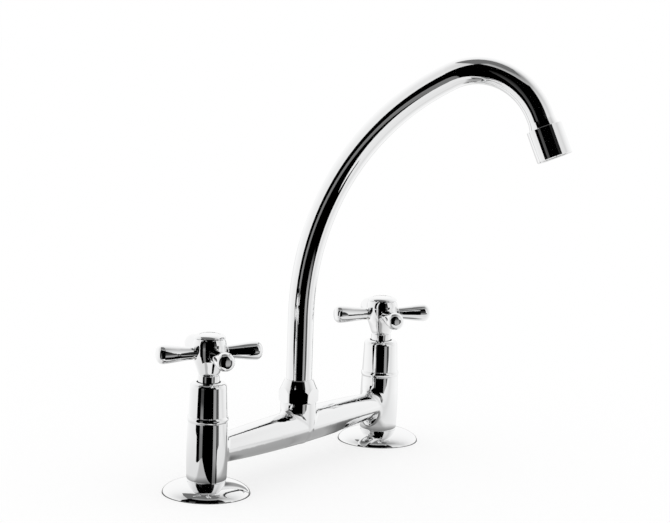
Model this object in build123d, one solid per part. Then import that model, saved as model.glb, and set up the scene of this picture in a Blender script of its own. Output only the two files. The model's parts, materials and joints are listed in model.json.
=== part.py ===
"""Two-hole bridge kitchen mixer tap with a swivel gooseneck spout and two cross-head compression valves.

Lengths are millimetres and angles are degrees. The frame is +X from the hot (left) leg to the cold (right)
leg, -Y towards the user, +Z up, with z = 0 on the deck and the origin midway between the two legs.
"""

import os
from math import atan2, cos, degrees, radians, sqrt

from build123d import *

# ---- Whole tap -------------------------------------------------------------------------------------------
inlet_centres = 203.2  # 8 inches between the legs
bridge_height = 27.3  # axis of the bridge above the deck
spout_azimuth = -82.3  # the way the spout points at rest
handle_angles = {"hot": -32.6, "cold": -38.6}  # the first arm's direction on each closed handle

# ---- Clearances ------------------------------------------------------------------------------------------
running_gap = 0.05  # radial or axial, between pieces that turn or slide on each other
thread_gap = 0.05  # radial, where a male thread fills a female one
loose_gap = 0.3  # between pieces that only pass each other
fixed_gap = 0.02  # radial, in joints that are pressed, brazed or screwed tight

# ---- Flange and foot -------------------------------------------------------------------------------------
flange_r = 29.4
flange_crown_r = 13.0  # the flat ring on top, where the pillar stands
flange_crown = 8.6
flange_wall = 1.6
gasket_inset = 3.0  # from the flange's rim
gasket_height = 2.0
leg_hole_r = 10.65  # passes a half-inch threaded leg
foot_groove = 0.6
foot_spigot_r = 11.9
foot_spigot_height = 1.9
foot_shoulder_r = 12.9
foot_base_r = 16.0
foot_base_height = 1.5

# ---- Pillars ---------------------------------------------------------------------------------------------
pillar_bottom_r = 13.3
pillar_middle_r = 13.75
pillar_top_r = 13.2
pillar_top = 48.5
inlet_thread_r = 9.32  # half-inch pipe thread, minor radius
inlet_thread_length = 8.4
chamber_r = 8.8
pillar_fillet = 6.0

# ---- Bridge and boss -------------------------------------------------------------------------------------
bridge_middle_r = 12.2
bridge_end_r = 8.5
waterway_r = 4.5
boss_top = 45.5
boss_top_r = 12.4
boss_bulb_r = 12.5
boss_thread_r = 11.0
boss_thread_length = 6.5
boss_fillet = 5.5
mixing_chamber_r = 7.4
mixing_chamber_floor = 21.0
mixing_chamber_top = 33.0

# ---- Spout nut -------------------------------------------------------------------------------------------
nut_width = 24.6  # across flats
nut_corner_r = 13.9
nut_height = 16.1
nut_lower_chamfer = 1.2
nut_edge = 0.3
nut_flat_height = 7.5
nut_cone_r = 12.3
nut_cone_start = 10.7
nut_top_r = 10.1
nut_turn = 5.8

# ---- Spout -----------------------------------------------------------------------------------------------
spout_tube_r = 9.0
spout_wall = 1.0
riser_top = 105.5
rise_arc_r = 193.8
rise_arc_angle = 63.5
crook_arc_r = 47.0
crook_arc_angle = 92.4
outlet_straight = 2.5
tail_r = 8.4
tail_bore_r = 5.9
tail_bottom_gap = 0.6
tail_collar_r = 10.3
tail_collar_height = 1.95
tail_spigot = 6.0
thrust_washer_height = 0.8
o_ring_section_r = 0.75
o_ring_groove_width = 1.9
spout_o_ring_heights = (38.0, 44.5)

# ---- Outlet and aerator ----------------------------------------------------------------------------------
ferrule_length = 4.5
ferrule_r = 9.9
ferrule_swell = 0.3
ferrule_spigot = 2.4
ferrule_bore_r = 6.8
outlet_thread_r = 10.9
outlet_thread_length = 7.6
outlet_thread_start = 0.4
aerator_r = 11.9
aerator_length = 21.0
aerator_edge = 0.4
aerator_lip_r = 9.4
aerator_lip_height = 2.4
aerator_gasket_height = 1.6
cartridge_bore_r = 8.6
cartridge_deck_offset = 2.4
cartridge_deck_height = 1.2
jet_holes = 10
jet_hole_r = 0.7
jet_circle_r = 5.6
screen_height = 0.4
screen_offsets = (5.2, 7.2)  # below the top of the cartridge

# ---- Valve seat and jumper -------------------------------------------------------------------------------
seat_ring_r = 7.6
seat_bore_r = 5.0
seat_ledge_r = 6.4
seat_ledge_height = 1.0
seat_ring_height = 2.6
seat_lip = 0.6
seat_lip_r = 6.0
jumper_washer_r = 6.6
jumper_washer_height = 3.0
jumper_plate_r = 6.9
jumper_plate_height = 1.6
jumper_stud_r = 1.5
jumper_stud_end = 0.4  # below its nut
jumper_stem_r = 2.2
jumper_stem_length = 8.5
jumper_nut_width = 5.5
jumper_nut_height = 1.8

# ---- Headwork --------------------------------------------------------------------------------------------
headwork_thread_r = 10.45
headwork_thread_length = 12.3
headwork_flange_r = 11.75
headwork_flange_height = 2.0
headwork_gasket_height = 1.2
headwork_hex_width = 18.0
headwork_hex_height = 6.0
headwork_barrel_r = 8.2
shroud_thread_r = 9.0
shroud_thread_length = 7.8
headwork_top = 69.8

# ---- Spindle ---------------------------------------------------------------------------------------------
valve_turns = 1.5
spindle_lead = 2.4
spindle_thread_r = 5.0
spindle_thread_length = 12.0
spindle_bottom = 33.0
spindle_stem_r = 4.0
spindle_rise = 0.8  # above the arms' axis
spline_r = 3.6
spline_start = 78.0
spline_teeth = 10
spline_groove_r = 0.45
spindle_tapping_r = 2.45
spindle_tapping_depth = 12.5
spindle_o_ring_section_r = 0.5
spindle_o_ring_groove_width = 1.3
spindle_o_ring_heights = (57.0, 62.0)

# ---- Shroud and ring -------------------------------------------------------------------------------------
ring_r = 13.75
ring_height = 4.1
ring_edge = 0.5
ring_land = 0.3
shroud_bottom_r = 12.95
shroud_top_r = 12.15
shroud_wall = 1.2
shroud_top = 75.2
shroud_round = 3.3
shroud_mouth_r = 8.1
shroud_land = 13.2  # solid length below the shroud's top, which holds its thread

# ---- Handle ----------------------------------------------------------------------------------------------
neck_r = 7.2
neck_bottom = 70.7
neck_top = 80.0
neck_edge = 0.4
hub_bottom_r = 6.5
bowl_r = 8.4  # of the hub's rounded underside, half way up
bowl_drop = 10.3  # from the arms' axis down to there
waist_r = 10.45  # where the underside turns into the upright side
waist_drop = 4.4
hub_r = 11.2
hub_shoulder_rise = 4.3  # from the arms' axis to the widest part of the hub
hub_rise = 9.3  # from the arms' axis to the top of the hub
hub_crown_lean = 0.2
hub_top_r = 10.3
hub_bore_r = 5.2
hub_recess_r = 7.5
hub_recess_depth = 3.0
screw_head_r = 4.4
screw_head_height = 3.2
screw_r = 2.4
screw_socket_width = 2.5
screw_end_room = 1.0  # below the screw, in its tapping
arm_height = 94.7
arm_reach = 36.4
arm_tip_r = 6.25
arm_tip_length = 4.7
arm_tip_shoulder = 1.25  # how far short of the end the rounded tip still has most of its radius
arm_root_r = 4.3
arm_root = 12.2
arm_groove_r = 3.9
arm_groove = 0.6
arm_chamfer = 0.3
arm_collar_r = 4.7
arm_collar_inner = 9.9
arm_spigot_r = 2.4
arm_spigot_length = 3.2
arm_count = 4
cap_r = 10.5
cap_gap = 0.6
cap_edge_height = 0.7
cap_height = 2.6
cap_bevel = 0.3
button_r = 6.8
button_recess = 0.9
button_dome = 0.35

# ---- Heights and radii that follow -----------------------------------------------------------------------
foot_top = flange_crown
gasket_r = flange_r - gasket_inset
hub_shoulder = arm_height + hub_shoulder_rise
hub_top = arm_height + hub_rise
spindle_top = arm_height + spindle_rise
inlet_top = foot_top + foot_spigot_height + inlet_thread_length
seat_floor = inlet_top + seat_ledge_height
seat_face = seat_floor + seat_ring_height + seat_lip
washer_bottom = seat_face + running_gap
plate_bottom = washer_bottom + jumper_washer_height
plate_top = plate_bottom + jumper_plate_height
valve_lift = valve_turns * spindle_lead
gasket_bottom = pillar_top - headwork_gasket_height
headwork_bottom = pillar_top - headwork_gasket_height - headwork_thread_length
hex_bottom = pillar_top + headwork_flange_height
hex_top = hex_bottom + headwork_hex_height
spindle_thread_top = spindle_bottom + spindle_thread_length
spindle_stop = spindle_thread_top + valve_lift + running_gap
ring_top = pillar_top + ring_height
screw_seat = hub_top - hub_recess_depth - screw_head_height - loose_gap
cap_bottom = hub_top + cap_gap
boss_thread_top = boss_top + boss_thread_length
collar_bottom = boss_thread_top + thrust_washer_height + running_gap
collar_top = collar_bottom + tail_collar_height
nut_shoulder = collar_top + running_gap + thrust_washer_height
inlet_x = {"hot": -inlet_centres / 2, "cold": inlet_centres / 2}


# ---- Shapes used throughout ------------------------------------------------------------------------------
def profile(*pieces):
    """A closed face in the XZ plane from points (radius, height) and edges, joined by straight lines."""
    edges = []
    first = last = None
    for piece in pieces:
        if isinstance(piece, Edge):
            start, end = piece @ 0, piece @ 1
        else:
            start = end = Vector(piece[0], 0, piece[1])
        if last is None:
            first = start
        elif (start - last).length > 1e-6:
            edges.append(Line(last, start))
        if isinstance(piece, Edge):
            edges.append(piece)
        last = end
    edges.append(Line(last, first))
    return make_face(edges)


def turned(*pieces):
    """A solid of revolution about Z."""
    return revolve(profile(*pieces), Axis.Z)


def arc(start, middle, end):
    """A circular arc through three (radius, height) points."""
    return ThreePointArc(*[(r, 0, z) for r, z in (start, middle, end)])


def curve(points, tangents):
    """A smooth curve through (radius, height) points with its end directions."""
    return Spline(*[(r, 0, z) for r, z in points], tangents=[(r, 0, z) for r, z in tangents])


def rod(radius, bottom, top):
    return Pos(0, 0, bottom) * Cylinder(radius, top - bottom, align=(Align.CENTER, Align.CENTER, Align.MIN))


def ring(inner, outer, bottom, top):
    return rod(outer, bottom, top) - rod(inner, bottom, top)


def hexagon(width, bottom, top):
    """A hexagonal bar of a width across its flats."""
    return Pos(0, 0, bottom) * extrude(RegularPolygon(width / 2, 6, major_radius=False), top - bottom)


def o_ring(outer, section, height):
    """An O-ring by its outside radius and section radius."""
    return Pos(0, 0, height) * Torus(outer - section, section)


def groove(outer, depth, width, height):
    """The ring of metal that a groove takes away."""
    return ring(outer - depth, outer + depth, height - width / 2, height + width / 2)


# ---- The casting -----------------------------------------------------------------------------------------
def pillar():
    side = arc(
        (pillar_bottom_r, foot_top + foot_groove),
        (pillar_middle_r, bridge_height),
        (pillar_top_r, pillar_top),
    )
    return turned((0, foot_top), (pillar_bottom_r - foot_groove, foot_top), side, (0, pillar_top))


def pillar_bores():
    """Inlet thread, seat pocket, valve chamber and headwork thread, from the foot upwards."""
    cuts = rod(foot_spigot_r + fixed_gap, foot_top, foot_top + foot_spigot_height)
    cuts += rod(inlet_thread_r, foot_top, inlet_top)
    cuts += rod(seat_ledge_r, inlet_top, seat_floor)
    cuts += rod(seat_ring_r + fixed_gap, seat_floor, seat_floor + seat_ring_height)
    cuts += rod(chamber_r, seat_floor + seat_ring_height, headwork_bottom)
    cuts += rod(headwork_thread_r + thread_gap, headwork_bottom, gasket_bottom)
    cuts += rod(headwork_flange_r + fixed_gap, gasket_bottom, pillar_top)
    return cuts


def bridge_bar():
    """The barrel-shaped bar between the pillars' axes."""
    half = inlet_centres / 2
    side = arc((bridge_end_r, -half), (bridge_middle_r, 0), (bridge_end_r, half))
    return Pos(0, 0, bridge_height) * Rot(0, 90, 0) * turned((0, -half), side, (0, half))


def boss():
    """The round-bottomed boss that carries the spout, with the thread of its nut."""
    low = bridge_height - boss_bulb_r
    slant = boss_bulb_r * cos(radians(45))
    bulb = arc((0, low), (slant, bridge_height - slant), (boss_bulb_r, bridge_height))
    side = curve(
        [(boss_bulb_r, bridge_height), (boss_top_r, boss_top)],
        [(0, 1), (boss_top_r - boss_bulb_r, 10)],
    )
    return turned(bulb, side, (0, boss_top)) + rod(boss_thread_r, boss_top, boss_thread_top)


def junction_edges(solid, middle_x, half_width):
    """The curves where the bar meets the upright at middle_x."""
    found = ShapeList()
    for edge in solid.edges():
        box = edge.bounding_box()
        off_axis = abs(box.center().X - middle_x)
        in_bar = box.min.Z > bridge_height - boss_bulb_r and box.max.Z < boss_top
        if 1 < off_axis < half_width and in_bar and box.size.Y > waterway_r and box.size.Z > 1:
            found.append(edge)
    return found


def mixer_body():
    """The one casting: two pillars, the bar between them, the boss, and every bore inside."""
    casting = bridge_bar()
    for x in inlet_x.values():
        outward = Rot(0, 0, 180) if x < 0 else Rot(0, 0, 0)
        casting += Pos(x, 0, 0) * outward * pillar()
    for x in inlet_x.values():
        casting = fillet(junction_edges(casting, x, pillar_middle_r + pillar_fillet), pillar_fillet)
    casting += Rot(0, 0, 90) * boss()
    casting = fillet(junction_edges(casting, 0, boss_bulb_r + boss_fillet), boss_fillet)
    for x in inlet_x.values():
        casting -= Pos(x, 0, 0) * Rot(0, 0, 90) * pillar_bores()
    waterway = Rot(0, 90, 0) * rod(waterway_r, -inlet_centres / 2, inlet_centres / 2)
    casting -= Pos(0, 0, bridge_height) * waterway
    casting -= Rot(0, 0, 90) * rod(mixing_chamber_r, mixing_chamber_floor, mixing_chamber_top)
    casting -= Rot(0, 0, 90) * rod(tail_r + running_gap, mixing_chamber_top, boss_thread_top)
    return casting


# ---- Foot of each leg ------------------------------------------------------------------------------------
def dome(edge_r, crown_r, crown):
    """A quarter of an ellipse, upright at the deck, that is crown high at crown_r."""
    peak = crown / sqrt(1 - (crown_r / edge_r) ** 2)
    end = degrees(atan2(crown / peak, crown_r / edge_r))
    return Plane.XZ * EllipticalCenterArc((0, 0), edge_r, peak, arc_size=end)


def flange():
    """The domed chrome cover plate that the pillar stands on, hollow beneath."""
    hole_r = foot_spigot_r + fixed_gap
    under = flange_crown - flange_wall
    outside = dome(flange_r, flange_crown_r, flange_crown)
    inside = dome(flange_r - flange_wall, flange_crown_r, under)
    shell = turned(outside, (0, flange_crown)) - turned(inside, (0, under), (0, 0))
    return shell - rod(hole_r, 0, flange_crown)


def flange_gasket():
    return ring(leg_hole_r, gasket_r, 0, gasket_height)


def foot_collar():
    """The pedestal inside the flange, which carries its crown and centres it and the pillar."""
    under = flange_crown - flange_wall
    base_top = gasket_height + foot_base_height
    return turned(
        (leg_hole_r, gasket_height),
        (foot_base_r, gasket_height),
        (foot_base_r, base_top),
        (foot_shoulder_r, base_top),
        (foot_shoulder_r, under),
        (foot_spigot_r, under),
        (foot_spigot_r, foot_top + foot_spigot_height),
        (leg_hole_r, foot_top + foot_spigot_height),
    )


# ---- Valve -----------------------------------------------------------------------------------------------
def valve_seat():
    """A screwed brass ring whose raised lip the jumper washer closes on."""
    top = seat_floor + seat_ring_height
    return turned(
        (seat_bore_r, seat_floor),
        (seat_ring_r, seat_floor),
        (seat_ring_r, top),
        (seat_lip_r + seat_lip, top),
        (seat_lip_r, seat_face),
        (seat_bore_r, seat_face),
    )


def jumper():
    """Stud, plate and stem of the jumper, which rises with the spindle without turning."""
    stud_bottom = washer_bottom - jumper_nut_height - jumper_stud_end
    return (
        rod(jumper_stud_r, stud_bottom, plate_bottom)
        + rod(jumper_plate_r, plate_bottom, plate_top)
        + rod(jumper_stem_r, plate_top, plate_top + jumper_stem_length)
    )


def jumper_washer():
    return ring(jumper_stud_r + fixed_gap, jumper_washer_r, washer_bottom, plate_bottom)


def jumper_nut():
    bottom = washer_bottom - jumper_nut_height
    nut = hexagon(jumper_nut_width, bottom, washer_bottom)
    return nut - rod(jumper_stud_r + fixed_gap, bottom, washer_bottom)


def headwork_body():
    """The brass body of the valve, with the spindle's thread and bore inside."""
    body = rod(headwork_thread_r, headwork_bottom, pillar_top)
    body += rod(headwork_flange_r, pillar_top, hex_bottom)
    body += hexagon(headwork_hex_width, hex_bottom, hex_top)
    body += rod(headwork_barrel_r, hex_top, headwork_top)
    body += rod(shroud_thread_r, headwork_top - shroud_thread_length, headwork_top)
    body -= rod(spindle_thread_r + thread_gap, headwork_bottom, spindle_stop)
    body -= rod(spindle_stem_r + running_gap, spindle_stop, headwork_top)
    return body


def headwork_gasket():
    return ring(headwork_thread_r + thread_gap, headwork_flange_r, gasket_bottom, pillar_top)


def spindle():
    """Screw, stem, O-ring grooves and splined head of the rising spindle."""
    groove_depth = 2 * spindle_o_ring_section_r
    shaft = rod(spindle_thread_r, spindle_bottom, spindle_thread_top)
    shaft += rod(spindle_stem_r, spindle_thread_top, spline_start)
    shaft += rod(spline_r, spline_start, spindle_top)
    for height in spindle_o_ring_heights:
        shaft -= groove(spindle_stem_r, groove_depth, spindle_o_ring_groove_width, height)
    flute = rod(spline_groove_r, spline_start, spindle_top)
    for turn in range(spline_teeth):
        shaft -= Rot(0, 0, turn * 360 / spline_teeth) * Pos(spline_r, 0, 0) * flute
    socket_top = plate_top + jumper_stem_length + loose_gap
    shaft -= rod(jumper_stem_r + running_gap, spindle_bottom, socket_top)
    shaft -= rod(spindle_tapping_r, spindle_top - spindle_tapping_depth, spindle_top)
    return shaft


def spindle_o_rings():
    return [o_ring(spindle_stem_r, spindle_o_ring_section_r, height) for height in spindle_o_ring_heights]


def shroud_ring():
    """The rounded band between the pillar and the shroud."""
    inner = headwork_flange_r + loose_gap
    edge_r = ring_r - ring_edge
    middle = (ring_r, pillar_top + ring_height / 2)
    bulge = arc((edge_r, pillar_top + ring_land), middle, (edge_r, ring_top - ring_land))
    return turned(
        (inner, pillar_top), (pillar_top_r, pillar_top), bulge, (shroud_bottom_r, ring_top), (inner, ring_top)
    )


def shroud():
    """The tapered cover over the headwork, rounded at its mouth."""
    flat_r = shroud_top_r - shroud_round
    shoulder_bottom = shroud_top - shroud_round
    lean = shroud_round * cos(radians(45))
    middle = (flat_r + lean, shoulder_bottom + lean)
    shoulder = arc((shroud_top_r, shoulder_bottom), middle, (flat_r, shroud_top))
    thread_r = shroud_thread_r + thread_gap
    thread_top = headwork_top + loose_gap
    land = shroud_top - shroud_land
    taper = (shroud_bottom_r - shroud_top_r) / (shoulder_bottom - ring_top)
    land_r = shroud_bottom_r - taper * (land - ring_top) - shroud_wall
    return turned(
        (shroud_bottom_r - shroud_wall, ring_top),
        (shroud_bottom_r, ring_top),
        shoulder,
        (shroud_mouth_r, shroud_top),
        (shroud_mouth_r, thread_top),
        (thread_r, thread_top),
        (thread_r, land),
        (land_r, land),
    )


# ---- Handle ----------------------------------------------------------------------------------------------
def arm_direction(index):
    return Rot(0, 0, index * 360 / arm_count) * Pos(0, 0, arm_height) * Rot(0, 90, 0)


def handle_hub():
    """Neck, bell and crown of the cross handle, bored for the spindle, its screw and the arms."""
    bowl = (bowl_r, arm_height - bowl_drop)
    waist = (waist_r, arm_height - waist_drop)
    side = curve([(hub_bottom_r, neck_top), bowl, waist, (hub_r, hub_shoulder)], [(0.8, 1), (0, 1)])
    above = hub_top - hub_shoulder
    middle = (hub_r - hub_crown_lean, hub_shoulder + above * 0.6)
    crown = arc((hub_r, hub_shoulder), middle, (hub_top_r, hub_top))
    hub = turned(
        (0, neck_bottom),
        (neck_r, neck_bottom),
        (neck_r, neck_top - neck_edge),
        (neck_r - neck_edge, neck_top),
        side,
        crown,
        (0, hub_top),
    )
    hub -= rod(hub_bore_r, neck_bottom, spline_start)
    hub -= rod(spline_r + fixed_gap, spline_start, screw_seat)
    hub -= rod(screw_head_r + loose_gap, screw_seat, hub_top)
    hub -= rod(hub_recess_r, hub_top - hub_recess_depth, hub_top)
    for index in range(arm_count):
        hub -= arm_direction(index) * rod(arm_collar_r, arm_collar_inner, arm_root)
        socket = rod(arm_spigot_r, arm_collar_inner - arm_spigot_length, arm_collar_inner)
        hub -= arm_direction(index) * socket
    return hub


def handle_arm():
    """One club-shaped arm along Z, from its spigot in the hub to its blunt end."""
    waist = arm_reach - arm_tip_length
    middle_r = (arm_root_r + arm_tip_r) / 2
    flank = curve(
        [(arm_root_r, arm_root), (middle_r, (arm_root + waist) / 2), (arm_tip_r, waist)],
        [(0.06, 1), (0.04, 1)],
    )
    shoulder = (arm_tip_r * 0.8, arm_reach - arm_tip_shoulder)
    end = curve([(arm_tip_r, waist), shoulder, (0, arm_reach)], [(0.04, 1), (-1, 0)])
    return turned(
        (0, arm_collar_inner - arm_spigot_length),
        (arm_spigot_r, arm_collar_inner - arm_spigot_length),
        (arm_spigot_r, arm_collar_inner),
        (arm_collar_r, arm_collar_inner),
        (arm_collar_r, arm_root - arm_groove - arm_chamfer),
        (arm_groove_r, arm_root - arm_groove),
        (arm_groove_r, arm_root - arm_chamfer),
        (arm_root_r, arm_root),
        flank,
        end,
    )


def handle_arms():
    return [arm_direction(index) * handle_arm() for index in range(arm_count)]


def handle_screw():
    """A socket-head screw that holds the hub down on the spline."""
    shank_bottom = spindle_top - spindle_tapping_depth + screw_end_room
    head_top = screw_seat + screw_head_height
    screw = rod(screw_r, shank_bottom, screw_seat) + rod(screw_head_r, screw_seat, head_top)
    return screw - hexagon(screw_socket_width * 1.6, head_top - screw_head_height * 0.6, head_top)


def index_cap():
    """The domed cap that plugs the hub, with a recess for its button."""
    spigot_bottom = hub_top - hub_recess_depth
    rim = cap_bottom + cap_edge_height
    crown = cap_bottom + cap_height
    middle_r = (cap_r + button_r) / 2 + cap_bevel
    bulge = arc((cap_r, rim), (middle_r, rim + (crown - rim) * 0.62), (button_r + cap_bevel, crown))
    return turned(
        (0, spigot_bottom),
        (hub_recess_r - fixed_gap, spigot_bottom),
        (hub_recess_r - fixed_gap, cap_bottom),
        (cap_r - cap_bevel, cap_bottom),
        (cap_r, cap_bottom + cap_bevel),
        bulge,
        (button_r, crown - cap_bevel / 3),
        (button_r, crown - button_recess),
        (0, crown - button_recess),
    )


def index_button():
    """The plain domed disc inset in the cap."""
    crown = cap_bottom + cap_height
    floor = crown - button_recess
    edge_r = button_r - fixed_gap
    bulge = curve([(edge_r, crown - cap_bevel), (0, crown + button_dome)], [(-1, 0.3), (-1, 0)])
    return turned((0, floor), (edge_r, floor), bulge)


# ---- Spout -----------------------------------------------------------------------------------------------
def spout_nut():
    """The hexagonal union nut with a conical crown, which holds the spout down on the boss."""
    top = boss_top + nut_height
    blank = turned(
        (0, boss_top),
        (nut_corner_r - nut_lower_chamfer, boss_top),
        (nut_corner_r, boss_top + nut_lower_chamfer * 0.8),
        (nut_corner_r, boss_top + nut_flat_height),
        (nut_cone_r, boss_top + nut_cone_start),
        (nut_top_r, top - nut_edge),
        (nut_top_r - nut_edge, top),
        (0, top),
    )
    nut = blank & (Rot(0, 0, nut_turn) * hexagon(nut_width, boss_top, top))
    nut -= rod(boss_thread_r + thread_gap, boss_top, nut_shoulder)
    nut -= rod(spout_tube_r + running_gap, nut_shoulder, top)
    return nut


def spout_washers():
    """The two slippery washers below and above the tail's collar."""
    lower = ring(tail_r + running_gap, boss_thread_r, boss_thread_top, boss_thread_top + thrust_washer_height)
    upper_bottom = nut_shoulder - thrust_washer_height
    upper = ring(spout_tube_r + running_gap, boss_thread_r, upper_bottom, nut_shoulder)
    return [lower, upper]


def spout_tail():
    """The sleeve brazed in the tube's lower end, which turns in the boss on its O-rings."""
    bottom = mixing_chamber_top + tail_bottom_gap
    sleeve = rod(tail_r, bottom, collar_bottom)
    sleeve += rod(tail_collar_r, collar_bottom, collar_top)
    sleeve += rod(spout_tube_r - spout_wall - fixed_gap, collar_top, collar_top + tail_spigot)
    for height in spout_o_ring_heights:
        sleeve -= groove(tail_r, 2 * o_ring_section_r, o_ring_groove_width, height)
    return sleeve - rod(tail_bore_r, bottom, collar_top + tail_spigot)


def spout_o_rings():
    return [o_ring(tail_r, o_ring_section_r, height) for height in spout_o_ring_heights]


def spout_path():
    """Riser, long rising arc, tight crook and short straight, in the XZ plane."""
    riser = Line((0, collar_top), (0, riser_top))
    rise = JernArc(riser @ 1, riser % 1, rise_arc_r, -rise_arc_angle)
    crook = JernArc(rise @ 1, rise % 1, crook_arc_r, -crook_arc_angle)
    end = PolarLine(crook @ 1, outlet_straight, direction=crook % 1)
    return Plane.XZ * Wire([riser, rise, crook, end])


def spout_tube():
    section = Pos(0, 0, collar_top) * (Circle(spout_tube_r) - Circle(spout_tube_r - spout_wall))
    return sweep(section, spout_path())


def outlet_frame():
    """The frame at the tube's end, with Z along the outlet and zero at the aerator's top."""
    path = spout_path()
    direction = path % 1
    return Plane(origin=(path @ 1) + direction * ferrule_length, x_dir=(0, 1, 0), z_dir=direction)


def spout_tip():
    """The ferrule brazed on the tube's end, with the aerator's male thread."""
    thread_end = outlet_thread_start + outlet_thread_length
    shoulder = (spout_tube_r + ferrule_swell, -ferrule_length * 0.6)
    swell = arc((spout_tube_r, -ferrule_length), shoulder, (ferrule_r, 0))
    spigot_r = spout_tube_r - spout_wall - fixed_gap
    return turned(
        (ferrule_bore_r, -ferrule_length - ferrule_spigot),
        (spigot_r, -ferrule_length - ferrule_spigot),
        (spigot_r, -ferrule_length),
        swell,
        (ferrule_r, outlet_thread_start),
        (outlet_thread_r, outlet_thread_start),
        (outlet_thread_r, thread_end),
        (ferrule_bore_r, thread_end),
    )


def aerator_housing():
    """The plain chrome sleeve that screws over the tip and holds the cartridge by its lip."""
    bore = outlet_thread_r + thread_gap
    return turned(
        (bore, 0),
        (aerator_r - aerator_edge / 2, 0),
        (aerator_r, aerator_edge / 2),
        (aerator_r, aerator_length - aerator_edge),
        (aerator_r - aerator_edge, aerator_length),
        (aerator_lip_r + aerator_edge, aerator_length),
        (aerator_lip_r, aerator_length - aerator_edge),
        (aerator_lip_r, aerator_length - aerator_lip_height),
        (bore, aerator_length - aerator_lip_height),
    )


def aerator_gasket():
    top = outlet_thread_start + outlet_thread_length
    return ring(cartridge_bore_r, outlet_thread_r, top, top + aerator_gasket_height)


def cartridge_span():
    top = outlet_thread_start + outlet_thread_length + aerator_gasket_height
    return top, aerator_length - aerator_lip_height


def aerator_cartridge():
    """The plastic insert, with a deck of jet holes across its bore."""
    top, bottom = cartridge_span()
    deck_top = top + cartridge_deck_offset
    deck_bottom = deck_top + cartridge_deck_height
    body = ring(cartridge_bore_r, outlet_thread_r, top, bottom) + rod(cartridge_bore_r, deck_top, deck_bottom)
    for turn in range(jet_holes):
        hole = Pos(jet_circle_r, 0, 0) * rod(jet_hole_r, deck_top, deck_bottom)
        body -= Rot(0, 0, turn * 360 / jet_holes) * hole
    return body


def aerator_screens():
    top = cartridge_span()[0]
    return [rod(cartridge_bore_r - fixed_gap, top + at, top + at + screen_height) for at in screen_offsets]


# ---- Assembly --------------------------------------------------------------------------------------------
def placed(place, made):
    """Each solid of a node at its place."""
    return [place * solid for solid in (made if isinstance(made, list) else [made])]


def leg_nodes(side):
    """Everything that stands on one leg's axis."""
    axis = Pos(inlet_x[side], 0, 0)
    handle = axis * Rot(0, 0, handle_angles[side])
    fixed = {
        "flange": flange(),
        "flange_gasket": flange_gasket(),
        "foot_collar": foot_collar(),
        "valve_seat": valve_seat(),
        "jumper": jumper(),
        "jumper_washer": jumper_washer(),
        "jumper_nut": jumper_nut(),
        "headwork_body": headwork_body(),
        "headwork_gasket": headwork_gasket(),
        "shroud_ring": shroud_ring(),
        "shroud": shroud(),
    }
    turning = {
        "spindle": spindle(),
        "spindle_o_rings": spindle_o_rings(),
        "handle_hub": handle_hub(),
        "handle_arms": handle_arms(),
        "handle_screw": handle_screw(),
        "index_cap": index_cap(),
        "index_button": index_button(),
    }
    nodes = {f"{side}_{name}": placed(axis, made) for name, made in fixed.items()}
    nodes.update({f"{side}_{name}": placed(handle, made) for name, made in turning.items()})
    return nodes


def spout_nodes():
    """Everything that turns with the spout."""
    swing = Rot(0, 0, spout_azimuth)
    outlet = swing * outlet_frame().location
    nodes = {
        "spout_tube": placed(swing, spout_tube()),
        "spout_tail": placed(swing, spout_tail()),
        "spout_o_rings": placed(swing, spout_o_rings()),
    }
    at_outlet = {
        "spout_tip": spout_tip(),
        "aerator_housing": aerator_housing(),
        "aerator_gasket": aerator_gasket(),
        "aerator_cartridge": aerator_cartridge(),
        "aerator_screens": aerator_screens(),
    }
    nodes.update({name: placed(outlet, made) for name, made in at_outlet.items()})
    return nodes


def main():
    nodes = {
        "mixer_body": [mixer_body()],
        "spout_nut": [spout_nut()],
        "spout_washers": spout_washers(),
    }
    nodes.update(spout_nodes())
    for side in inlet_x:
        nodes.update(leg_nodes(side))
    os.makedirs("parts", exist_ok=True)
    for name, made in nodes.items():
        solids = [solid for piece in made for solid in piece.solids()]
        export_step(Compound(label=name, children=solids), f"parts/{name}.step")
    print(f"{len(nodes)} nodes")


main()
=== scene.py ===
"""Looks, light and camera for the bridge kitchen mixer tap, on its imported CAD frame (metres)."""

import json
from math import cos, pi, radians, sin, tan

import bpy
from mathutils import Matrix, Vector


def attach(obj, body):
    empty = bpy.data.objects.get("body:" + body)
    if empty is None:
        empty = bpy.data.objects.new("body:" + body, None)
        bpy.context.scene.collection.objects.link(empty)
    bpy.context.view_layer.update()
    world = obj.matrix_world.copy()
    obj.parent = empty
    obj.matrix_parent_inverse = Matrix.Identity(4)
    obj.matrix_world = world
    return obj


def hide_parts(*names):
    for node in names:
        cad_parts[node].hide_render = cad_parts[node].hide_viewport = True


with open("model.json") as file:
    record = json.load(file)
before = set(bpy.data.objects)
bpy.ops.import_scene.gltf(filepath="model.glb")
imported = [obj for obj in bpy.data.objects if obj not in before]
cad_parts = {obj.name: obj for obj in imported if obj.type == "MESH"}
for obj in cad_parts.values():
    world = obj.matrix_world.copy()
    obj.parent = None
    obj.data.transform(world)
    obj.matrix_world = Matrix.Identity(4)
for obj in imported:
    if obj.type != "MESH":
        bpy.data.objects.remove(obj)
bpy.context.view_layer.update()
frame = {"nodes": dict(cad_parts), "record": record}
nodes = frame["nodes"]
mounts = {mount["name"]: mount for mount in frame["record"]["mounts"]}
LEG_X = mounts["cold_inlet"]["pos_m"][0]  # from the middle to each leg

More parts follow.
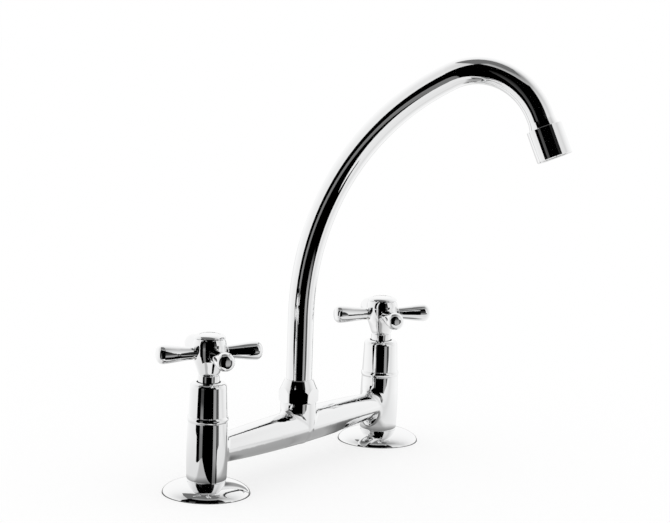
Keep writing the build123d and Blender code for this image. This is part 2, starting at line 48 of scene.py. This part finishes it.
# ---- Camera, as fitted to the photograph -----------------------------------------------------------------
CAMERA_AZIMUTH = radians(-55.12)
CAMERA_PITCH = radians(8.79)  # looking down
CAMERA_ROLL = radians(1.89)
CAMERA_DISTANCE = 1.4311  # along the floor, from the tap's middle
CAMERA_LATERAL = 0.0224
CAMERA_HEIGHT = 0.3664
FOCAL_PIXELS = 2090.2
IMAGE_WIDTH = 670
SENSOR_WIDTH = 36.0  # millimetres
NEAR_CLIP = 0.05
FAR_CLIP = 50.0
TOWARD_CAMERA = Vector((sin(CAMERA_AZIMUTH), -cos(CAMERA_AZIMUTH), 0))
CAMERA_RIGHT = Vector((cos(CAMERA_AZIMUTH), sin(CAMERA_AZIMUTH), 0))


def stage_place(ahead, aside, height=0.0):
    """A place in the studio by its distances toward the camera and to its right, and its height."""
    return TOWARD_CAMERA * ahead + CAMERA_RIGHT * aside + Vector((0, 0, height))


def stage_around(azimuth, reach, height):
    """A place by its azimuth in degrees from the camera's own, positive to its right."""
    turn = radians(azimuth)
    return stage_place(reach * cos(turn), reach * sin(turn), height)


def add_camera():
    """The photograph's camera: pitched down a little and rolled a little."""
    forward = -TOWARD_CAMERA * cos(CAMERA_PITCH) - Vector((0, 0, sin(CAMERA_PITCH)))
    up = CAMERA_RIGHT.cross(forward)
    rolled_right = CAMERA_RIGHT * cos(CAMERA_ROLL) + up * sin(CAMERA_ROLL)
    rolled_up = up * cos(CAMERA_ROLL) - CAMERA_RIGHT * sin(CAMERA_ROLL)
    data = bpy.data.cameras.new("photo_camera")
    data.sensor_fit = "HORIZONTAL"
    data.sensor_width = SENSOR_WIDTH
    data.lens = FOCAL_PIXELS * SENSOR_WIDTH / IMAGE_WIDTH
    data.clip_start = NEAR_CLIP
    data.clip_end = FAR_CLIP
    camera = bpy.data.objects.new("photo_camera", data)
    bpy.context.scene.collection.objects.link(camera)
    place = stage_place(CAMERA_DISTANCE, CAMERA_LATERAL, CAMERA_HEIGHT)
    turn = Matrix((rolled_right, rolled_up, -forward)).transposed().to_4x4()
    camera.matrix_world = Matrix.Translation(place) @ turn
    bpy.context.scene.camera = camera


# ---- Helpers for nodes and meshes ------------------------------------------------------------------------
WHITE = (1, 1, 1, 1)


class Graph:
    """Short calls for building one node tree."""

    def __init__(self, tree):
        self.tree = tree
        tree.nodes.clear()

    def add(self, kind, settings=None, *values, **inputs):
        """A node with its settings, and with its inputs in order or by name."""
        node = self.tree.nodes.new(kind)
        for key, value in (settings or {}).items():
            setattr(node, key, value)
        for index, value in enumerate(values):
            self.feed(node.inputs[index], value)
        for name, value in inputs.items():
            self.feed(node.inputs[name.replace("_", " ")], value)
        return node

    def feed(self, socket, value):
        """Links an input to an output or to a node's first output, or sets it to a plain value."""
        if isinstance(value, bpy.types.Node):
            value = value.outputs[0]
        if isinstance(value, bpy.types.NodeSocket):
            self.tree.links.new(value, socket)
        else:
            socket.default_value = value

    def math(self, operation, *values, clamp=False):
        """A Math node's result."""
        return self.add("ShaderNodeMath", {"operation": operation, "use_clamp": clamp}, *values).outputs[0]

    def vector(self, operation, *values, result="Vector", **inputs):
        """A Vector Math node's result."""
        node = self.add("ShaderNodeVectorMath", {"operation": operation}, *values, **inputs)
        return node.outputs[result]

    def length(self, first, second):
        """The distance that two offsets at right angles make."""
        squares = [self.math("POWER", offset, 2) for offset in (first, second)]
        return self.math("SQRT", self.math("ADD", *squares))

    def ramp(self, factor, *stops):
        """A grey ramp: stops are (position, value)."""
        node = self.add("ShaderNodeValToRGB", Fac=factor)
        elements = node.color_ramp.elements
        while len(elements) < len(stops):
            elements.new(0.5)  # placed in the loop below
        for element, (position, value) in zip(elements, stops):
            element.position = position
            element.color = (value, value, value, 1)
        return node.outputs["Color"]


def new_graph_material(name):
    """An empty node material."""
    material = bpy.data.materials.new(name)
    material.use_nodes = True
    return material, Graph(material.node_tree)


def add_mesh(name, points, faces, material):
    """A mesh object in one material."""
    mesh = bpy.data.meshes.new(name)
    mesh.from_pydata(points, [], faces)
    mesh.materials.append(material)
    mesh_object = bpy.data.objects.new(name, mesh)
    bpy.context.scene.collection.objects.link(mesh_object)
    return mesh_object


# ---- The room: plain white, with soft shades that only the metal shows -----------------------------------
FRONT_SIDES = (  # share of a turn, with the camera at 0.5 and its right above that, then brightness
    (0.19, 0.96), (0.25, 0.90), (0.33, 0.84), (0.66, 0.86), (0.70, 0.84), (0.735, 0.76), (0.78, 0.88),
    (0.86, 0.98),
)
ROOM_SIDES = ((0.0, 1.0), (0.12, 1.0), *FRONT_SIDES, (1.0, 1.0))
ROOM_ABOVE = (  # sine of the elevation, brightness
    (0.0, 1.0), (0.3, 0.98), (0.5, 0.90), (0.8, 0.72), (0.93, 0.40), (1.0, 0.25),
)
ABOVE_LIMIT = 0.9  # the overhead shade is gone where a direction points this far away from the camera


def along_axis(graph, place, axis):
    """How far a place or direction lies along a fixed axis."""
    return graph.vector("DOT_PRODUCT", place, axis, result="Value")


def shade_around(graph, direction, stops):
    """A brightness by azimuth, from (share of a turn, brightness) pairs."""
    ahead = along_axis(graph, direction, TOWARD_CAMERA)
    aside = along_axis(graph, direction, CAMERA_RIGHT)
    turn = graph.math("ARCTAN2", aside, ahead)
    around = graph.math("MULTIPLY_ADD", turn, 1 / (2 * pi), 0.5)  # 0.5 is the camera's own azimuth
    return graph.ramp(around, *stops)


def add_world():
    """A white studio, a little darker overhead and beside the camera, in the metal alone."""
    world = bpy.data.worlds.new("studio")
    bpy.context.scene.world = world
    world.use_nodes = True
    graph = Graph(world.node_tree)
    direction = graph.add("ShaderNodeTexCoord").outputs["Generated"]
    height = graph.add("ShaderNodeSeparateXYZ", Vector=direction).outputs["Z"]
    above = graph.ramp(height, *ROOM_ABOVE)
    front = graph.math("ADD", along_axis(graph, direction, TOWARD_CAMERA), ABOVE_LIMIT, clamp=True)
    dimming = graph.math("MULTIPLY", graph.math("SUBTRACT", 1, above), front)
    sides = shade_around(graph, direction, ROOM_SIDES)
    room = graph.math("MULTIPLY", sides, graph.math("SUBTRACT", 1, dimming))
    glossy = graph.add("ShaderNodeLightPath").outputs["Is Glossy Ray"]
    strength = graph.math("MULTIPLY_ADD", glossy, graph.math("SUBTRACT", room, 1), 1)
    background = graph.add("ShaderNodeBackground", Color=WHITE, Strength=strength)
    graph.add("ShaderNodeOutputWorld", Surface=background)


# ---- Cards, which only the metal shows -------------------------------------------------------------------
CARD_RADIUS = 1.1  # from the tap's middle
CARD_STEPS = 6  # flat strips across each card
CARD_TOP = 1.9
LEFT_FOOT = -0.85
RIGHT_FOOT = -1.3
RIGHT_TOP = 0.14
BLACK = ((LEFT_FOOT, 0.0), (CARD_TOP, 0.0))
LEFT_GAP = (  # height in metres, brightness
    (LEFT_FOOT, 0.17), (-0.3, 0.18), (-0.12, 0.20), (-0.095, 0.30), (-0.075, 0.04), (0.0, 0.10), (0.3, 0.06),
    (0.72, 0.0), (CARD_TOP, 0.0),
)
RIGHT_GAP = (
    (RIGHT_FOOT, 0.0), (-0.45, 0.0), (-0.25, 0.36), (-0.15, 0.38), (0.02, 0.28), (0.16, 0.06), (0.5, 0.03),
    (0.9, 0.0), (CARD_TOP, 0.0),
)
FLAGS = (  # from azimuth, to azimuth, then (height, brightness) up the card
    (-78, -62, ((-1.35, 0.0), (-0.45, 0.0))),
    (-61, -40, BLACK),
    (-40, -25, LEFT_GAP),
    (-25, 31, BLACK),
    (31, 49, RIGHT_GAP),
    (49, 55, ((RIGHT_FOOT, 0.0), (RIGHT_TOP, 0.0))),
    (55, 65, ((RIGHT_FOOT, 0.0), (-0.45, 0.0), (-0.25, 0.13), (RIGHT_TOP, 0.13))),
)
CEILING_HEIGHT = 2.2
CEILING_BRIGHTNESS = 0.16
CEILING_CORNERS = (  # azimuth, and elevation as seen from the tap's foot
    (-135, 52), (-60, 52), (-60, 72), (0, 72), (60, 70), (120, 72), (180, 72),
)


def glow(name, *stops):
    """A card's brightness by height, from (height, brightness) pairs; it needs no lamp."""
    material, graph = new_graph_material(name)
    low, high = stops[0][0], stops[-1][0]
    place = graph.add("ShaderNodeTexCoord").outputs["Object"]
    height = graph.add("ShaderNodeSeparateXYZ", Vector=place).outputs["Z"]
    rise = graph.math("DIVIDE", graph.math("SUBTRACT", height, low), high - low, clamp=True)
    shade = graph.ramp(rise, *[((at - low) / (high - low), value) for at, value in stops])
    shader = graph.add("ShaderNodeEmission", Color=shade, Strength=1.0)
    graph.add("ShaderNodeOutputMaterial", Surface=shader)
    return material


def add_card(name, points, faces, material):
    """A studio card that only shows in the metal."""
    card = add_mesh(name, points, faces, material)
    card.visible_camera = False
    card.visible_diffuse = False
    card.visible_shadow = False


def add_flags():
    """Upright cards in an arc on the camera's side: black, or with a grey stretch."""
    for number, (start, end, stops) in enumerate(FLAGS):
        points = []
        for step in range(CARD_STEPS + 1):
            azimuth = start + (end - start) * step / CARD_STEPS
            for height in (stops[0][0], stops[-1][0]):
                points.append(stage_around(azimuth, CARD_RADIUS, height))
        faces = [(foot, foot + 2, foot + 3, foot + 1) for foot in range(0, 2 * CARD_STEPS, 2)]
        add_card(f"flag_{number}", points, faces, glow(f"flag_glow_{number}", *stops))


def add_ceiling():
    """A dark ceiling, which comes lower in the metal on the camera's left."""
    corners = []
    for azimuth, elevation in CEILING_CORNERS:
        reach = CEILING_HEIGHT / tan(radians(elevation))
        corners.append(stage_around(azimuth, reach, CEILING_HEIGHT))
    shade = glow("ceiling_glow", (0.0, CEILING_BRIGHTNESS), (CEILING_HEIGHT, CEILING_BRIGHTNESS))
    add_card("ceiling", corners, [tuple(range(len(corners)))], shade)


# ---- The floor that the camera sees, and the paper that the metal shows in its place ---------------------
FLOOR_REACH = 4.0
SHADOW_DEPTH = 0.4  # how much of the floor's shadow the camera sees
PAPER_EDGE = (  # toward the camera and to its right, in metres: the front edge of the paper under the tap
    (0.250, -1.0), (0.210, -0.26), (0.168, -0.183), (0.140, -0.141), (0.147, -0.131), (0.184, -0.114),
    (0.192, -0.102), (0.170, -0.080), (0.146, -0.061), (0.131, -0.051), (0.106, -0.031), (0.109, -0.020),
    (0.121, 0.0), (0.137, 0.020), (0.153, 0.050), (0.160, 0.070), (0.140, 0.140), (0.120, 0.170),
    (0.180, 0.40), (0.20, 1.0),
)
PAPER_REACH = 2.0  # behind the tap, and to each side there
PAPER_DROP = 0.0002  # below the tap's feet
PAPER_SIDES = (  # share of a turn, brightness
    (0.0, 0.70), (0.06, 0.80), (0.10, 1.0), *FRONT_SIDES, (0.90, 1.0), (0.94, 0.80), (1.0, 0.70),
)
SHADE_LINE_Y = -0.011  # the middle of the tap's own shade, a little in front of its legs
PAPER_SHADE = (  # distance from that line between the legs, brightness
    (0.0, 0.42), (0.034, 0.47), (0.052, 0.90), (0.2, 1.0),
)
FLANGE_RADIUS = 0.0294
CONTACT_WIDTH = 0.025  # of the painted contact shadow, a dark ring round each flange on the paper
CONTACT_SHADE = ((0.0, 0.28), (0.4, 0.42), (1.0, 1.0))  # share of that width, brightness
SHADOW_ENDS = ((0.083, -0.058), (0.192, -0.100))  # the near leg's shadow on the paper
SHADOW_WIDTH = (0.018, 0.030)  # from its line to where it starts to fade, and to where it ends
SHADOW_SHADE = 0.62


def add_floor():
    """The white floor that the camera sees, with a light share of the tap's soft shadow."""
    material, graph = new_graph_material("pale_floor")
    lit = graph.add("ShaderNodeBsdfDiffuse", Color=WHITE)
    white = graph.add("ShaderNodeEmission", Color=WHITE, Strength=1.0)
    seen = graph.add("ShaderNodeLightPath").outputs["Is Camera Ray"]
    share = graph.math("MULTIPLY", seen, 1 - SHADOW_DEPTH)
    blend = graph.add("ShaderNodeMixShader", {}, share, lit, white)
    graph.add("ShaderNodeOutputMaterial", Surface=blend)
    corners = [(FLOOR_REACH * x, FLOOR_REACH * y, 0) for x, y in ((-1, -1), (1, -1), (1, 1), (-1, 1))]
    floor = add_mesh("floor", corners, [(0, 1, 2, 3)], material)
    floor.visible_glossy = False


def tap_shade(graph, from_leg, y):
    """The tap's own shade on the paper, from the line between its legs outward."""
    past_leg = graph.math("MAXIMUM", from_leg, 0)
    from_line = graph.math("SUBTRACT", y, SHADE_LINE_Y)
    far = PAPER_SHADE[-1][0]
    reach = graph.math("DIVIDE", graph.length(past_leg, from_line), far)
    return graph.ramp(reach, *[(distance / far, value) for distance, value in PAPER_SHADE])


def contact_shade(graph, from_leg, y):
    """A painted contact shadow: the dark ring round each flange on the paper."""
    clear = graph.math("SUBTRACT", graph.length(from_leg, y), FLANGE_RADIUS)
    return graph.ramp(graph.math("DIVIDE", clear, CONTACT_WIDTH), *CONTACT_SHADE)


def leg_shadow(graph, place):
    """The near leg's shadow, which falls toward the camera."""
    start, end = [stage_place(*point) for point in SHADOW_ENDS]
    along = (end - start).normalized()
    offset = graph.vector("SUBTRACT", place, start)
    run = graph.math("MAXIMUM", along_axis(graph, offset, along), 0)
    kept = graph.math("MINIMUM", run, (end - start).length)
    nearest = graph.vector("SCALE", along, Scale=kept)
    gap = graph.vector("DISTANCE", offset, nearest, result="Value")
    fade_start, fade_end = SHADOW_WIDTH
    return graph.add(
        "ShaderNodeMapRange", {"interpolation_type": "SMOOTHSTEP"},
        Value=gap, From_Min=fade_start, From_Max=fade_end, To_Min=SHADOW_SHADE, To_Max=1.0,
    )


def add_paper():
    """The paper under the tap as the metal shows it: grey in the tap's own shade, paler further off."""
    material, graph = new_graph_material("shaded_paper")
    place = graph.add("ShaderNodeTexCoord").outputs["Object"]
    x, y, _ = graph.add("ShaderNodeSeparateXYZ", Vector=place).outputs
    from_leg = graph.math("SUBTRACT", graph.math("ABSOLUTE", x), LEG_X)
    own = graph.math("MULTIPLY", tap_shade(graph, from_leg, y), contact_shade(graph, from_leg, y))
    shaded = graph.math("MULTIPLY", own, leg_shadow(graph, place))
    strength = graph.math("MULTIPLY", shaded, shade_around(graph, place, PAPER_SIDES))
    shader = graph.add("ShaderNodeEmission", Color=WHITE, Strength=strength)
    graph.add("ShaderNodeOutputMaterial", Surface=shader)
    outline = (*PAPER_EDGE, (-PAPER_REACH, PAPER_REACH), (-PAPER_REACH, -PAPER_REACH))
    corners = [stage_place(ahead, aside, -PAPER_DROP) for ahead, aside in outline]
    add_card("paper", corners, [tuple(range(len(corners)))], material)


# ---- Materials -------------------------------------------------------------------------------------------
WAVE_PERIOD = 0.314  # the length of one wave of Blender's Wave texture, at a scale of 1


def varied(graph, place, scale, low, high):
    """A slow blotchy blend between two colours or two values."""
    blotch = graph.add("ShaderNodeTexNoise", Vector=place, Scale=scale, Detail=4.0).outputs["Fac"]
    if isinstance(low, tuple):
        blend = graph.add("ShaderNodeMix", {"data_type": "RGBA"}, Factor=blotch, A=(*low, 1), B=(*high, 1))
        return blend.outputs["Result"]
    return graph.add("ShaderNodeMapRange", Value=blotch, To_Min=low, To_Max=high)


def chrome():
    """Polished plating: near mirror, with the faint unevenness of a buffed casting under it."""
    material, graph = new_graph_material("polished_chrome")
    place = graph.add("ShaderNodeTexCoord").outputs["Object"]
    wave = graph.add("ShaderNodeTexNoise", Vector=place, Scale=70.0, Detail=1.0).outputs["Fac"]
    shader = graph.add(
        "ShaderNodeBsdfPrincipled",
        Metallic=1.0,
        Base_Color=varied(graph, place, scale=40.0, low=(0.925, 0.93, 0.935), high=(0.95, 0.95, 0.95)),
        Roughness=varied(graph, place, scale=90.0, low=0.012, high=0.03),
        Normal=graph.add("ShaderNodeBump", Height=wave, Strength=0.05, Distance=0.0006),
    )
    graph.add("ShaderNodeOutputMaterial", Surface=shader)
    return material


def turned_metal(name, low, high, roughness, pitch):
    """A turned metal: blotchy colour and gloss, with fine tool marks that run round its axis."""
    material, graph = new_graph_material(name)
    place = graph.add("ShaderNodeTexCoord").outputs["Object"]
    marks = graph.add(
        "ShaderNodeTexWave", {"bands_direction": "Z"},
        Vector=place, Scale=WAVE_PERIOD / pitch, Distortion=1.5, Detail=2.0,
    ).outputs["Fac"]
    shader = graph.add(
        "ShaderNodeBsdfPrincipled",
        Metallic=1.0,
        Base_Color=varied(graph, place, 120.0, low, high),
        Roughness=varied(graph, place, scale=250.0, low=roughness * 0.8, high=roughness * 1.3),
        Normal=graph.add("ShaderNodeBump", Height=marks, Strength=0.35, Distance=0.00004),
    )
    graph.add("ShaderNodeOutputMaterial", Surface=shader)
    return material


def moulded(name, low, high, roughness, grain_scale, grain_depth):
    """A moulded rubber or plastic with a fine grain and a little mottling."""
    material, graph = new_graph_material(name)
    place = graph.add("ShaderNodeTexCoord").outputs["Object"]
    grain = graph.add("ShaderNodeTexNoise", Vector=place, Scale=grain_scale, Detail=3.0).outputs["Fac"]
    shader = graph.add(
        "ShaderNodeBsdfPrincipled",
        Base_Color=varied(graph, place, 180.0, low, high),
        Roughness=varied(graph, place, scale=300.0, low=roughness * 0.85, high=roughness * 1.15),
        Normal=graph.add("ShaderNodeBump", Height=grain, Strength=0.3, Distance=grain_depth),
    )
    graph.add("ShaderNodeOutputMaterial", Surface=shader)
    return material


def slot_looks():
    """One material for each slot of the record."""
    return {
        "chrome": chrome(),
        "brass": turned_metal(
            "machined_brass", low=(0.66, 0.46, 0.19), high=(0.80, 0.61, 0.31),
            roughness=0.22, pitch=0.00035,
        ),
        "steel": turned_metal(
            "bright_steel", low=(0.50, 0.51, 0.52), high=(0.66, 0.66, 0.66),
            roughness=0.24, pitch=0.00025,
        ),
        "rubber": moulded(
            "black_rubber", low=(0.014, 0.014, 0.015), high=(0.035, 0.035, 0.034),
            roughness=0.6, grain_scale=1400.0, grain_depth=0.0002,
        ),
        "plastic": moulded(
            "white_plastic", low=(0.78, 0.78, 0.75), high=(0.84, 0.84, 0.82),
            roughness=0.38, grain_scale=2200.0, grain_depth=0.0001,
        ),
    }


def dress(looks):
    """Gives every CAD node the material of its slot."""
    for part in frame["record"]["subparts"]:
        mesh = nodes[part["node"]].data
        mesh.materials.clear()
        mesh.materials.append(looks[part["material_slot"]])


# ---- Pieces too fine for the solids ----------------------------------------------------------------------
WIRE_RADIUS = 0.00011
WIRE_SPACING = 0.0009
WIRE_SIDES = 5
SCREEN_RIM_RADIUS = 0.00018
SCREEN_RIM_SIDES = 6
SCREEN_RIM_STEPS = 64
MM = 0.001  # in metres
THREAD_PITCH = 0.001814  # half-inch pipe thread
THREAD_DEPTH = 0.00022  # of its crests, which stand inward of the bore
THREAD_SEAT = 0.00005  # how far the ridge's foot lies inside the wall
THREAD_END_GAP = 0.0007  # from each end of the inlet's threaded length
CREST_HALF_WIDTH = 0.3  # of the pitch
THREAD_STEPS = 48  # in a turn
THREAD_FADE_STEPS = 12  # over which a crest rises from nothing at each end


def add_piece(name, points, faces, material, body):
    """A mesh piece with its slot's material, which rides on a body."""
    piece = add_mesh(name, points, faces, material)
    for face in piece.data.polygons:
        face.use_smooth = True
    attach(piece, body)
    return piece


def tube(path, radius, sides, points, faces):
    """Adds a round wire along a list of places: capped, or joined up where the path ends at its start."""
    first = len(points)
    closed = (path[-1] - path[0]).length < radius
    places = path[:-1] if closed else path
    count = len(places)
    for index, place in enumerate(places):
        after = places[(index + 1) % count] if closed else places[min(index + 1, count - 1)]
        before = places[index - 1] if closed else places[max(index - 1, 0)]
        ahead = (after - before).normalized()
        across = ahead.orthogonal() if index == 0 else across - across.project(ahead)
        across.normalize()
        other = ahead.cross(across)
        for side in range(sides):
            angle = 2 * pi * side / sides
            points.append(place + (across * cos(angle) + other * sin(angle)) * radius)
    for index in range(count if closed else count - 1):
        low, high = first + index * sides, first + (index + 1) % count * sides
        for side in range(sides):
            turn = (side + 1) % sides
            faces.append((low + side, low + turn, high + turn, high + side))
    if not closed:
        faces.append(tuple(reversed(range(first, first + sides))))
        faces.append(tuple(range(len(points) - sides, len(points))))


def weave(centre, axis, radius, points, faces):
    """One round screen of woven wire, with a wire rim."""
    aside = axis.orthogonal().normalized()
    other = axis.cross(aside)
    rim = radius - SCREEN_RIM_RADIUS
    rows = int(rim / WIRE_SPACING)
    for along, across, phase in ((aside, other, 0), (other, aside, 1)):
        for row in range(-rows, rows + 1):
            half = (radius ** 2 - (row * WIRE_SPACING) ** 2) ** 0.5 - SCREEN_RIM_RADIUS
            steps = 2 * (int(half / WIRE_SPACING) + 1)  # two points for each wire that it crosses
            path = []
            for step in range(-steps, steps + 1):
                run = half * step / steps
                lift = WIRE_RADIUS * cos(pi * (run / WIRE_SPACING + row + phase))
                path.append(centre + along * run + across * row * WIRE_SPACING + axis * lift)
            tube(path, WIRE_RADIUS, WIRE_SIDES, points, faces)
    turns = [2 * pi * step / SCREEN_RIM_STEPS for step in range(SCREEN_RIM_STEPS + 1)]
    path = [centre + (aside * cos(turn) + other * sin(turn)) * rim for turn in turns]
    tube(path, SCREEN_RIM_RADIUS, SCREEN_RIM_SIDES, points, faces)


def add_screens(look):
    """The two woven screens of the aerator, where the plain discs lie."""
    mesh = nodes["aerator_screens"].data
    places = [point.co for point in mesh.vertices]
    axis = max(mesh.polygons, key=lambda face: face.area).normal.normalized()
    middle = sum(places, Vector()) / len(places)
    offsets = [place - middle for place in places]
    radius = max((offset - axis * offset.dot(axis)).length for offset in offsets)
    heights = [offset.dot(axis) for offset in offsets]
    lower = [height for height in heights if height < 0]
    upper = [height for height in heights if height > 0]
    points, faces = [], []
    for disc in (lower, upper):
        level = (min(disc) + max(disc)) / 2
        weave(middle + axis * level, axis, radius, points, faces)
    screens = add_piece("woven_screens", points, faces, look, "spout")
    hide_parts("aerator_screens")


def add_inlet_thread(side, look):
    """The crests of the female thread in a leg's inlet, as one helical ridge."""
    mount = mounts[f"{side}_inlet"]
    leg, _, middle = mount["pos_m"]
    radius = mount["dims"]["r_mm"] * MM
    half = mount["dims"]["length_mm"] * MM / 2 - THREAD_END_GAP
    steps = int(2 * half / THREAD_PITCH * THREAD_STEPS)
    width = CREST_HALF_WIDTH * THREAD_PITCH
    points, faces = [], []
    for step in range(steps + 1):
        turn = 2 * pi * step / THREAD_STEPS
        height = middle - half + THREAD_PITCH * step / THREAD_STEPS
        crest = THREAD_DEPTH * min(1.0, step / THREAD_FADE_STEPS, (steps - step) / THREAD_FADE_STEPS)
        for inward, shift in ((-THREAD_SEAT, -width), (crest, 0.0), (-THREAD_SEAT, width)):
            reach = radius - inward
            points.append((leg + reach * cos(turn), reach * sin(turn), height + shift))
    for step in range(steps):
        low = 3 * step
        for edge, after in ((0, 1), (1, 2), (2, 0)):
            faces.append((low + edge, low + after, low + 3 + after, low + 3 + edge))
    faces += [(2, 1, 0), (3 * steps, 3 * steps + 1, 3 * steps + 2)]
    add_piece(f"{side}_inlet_thread", points, faces, look, "root")


add_camera()
add_world()
add_floor()
add_flags()
add_ceiling()
add_paper()
slots = slot_looks()
dress(slots)
add_screens(slots["steel"])
for leg_side in ("hot", "cold"):
    add_inlet_thread(leg_side, slots["brass"])
bpy.context.scene.view_settings.view_transform = "Standard"
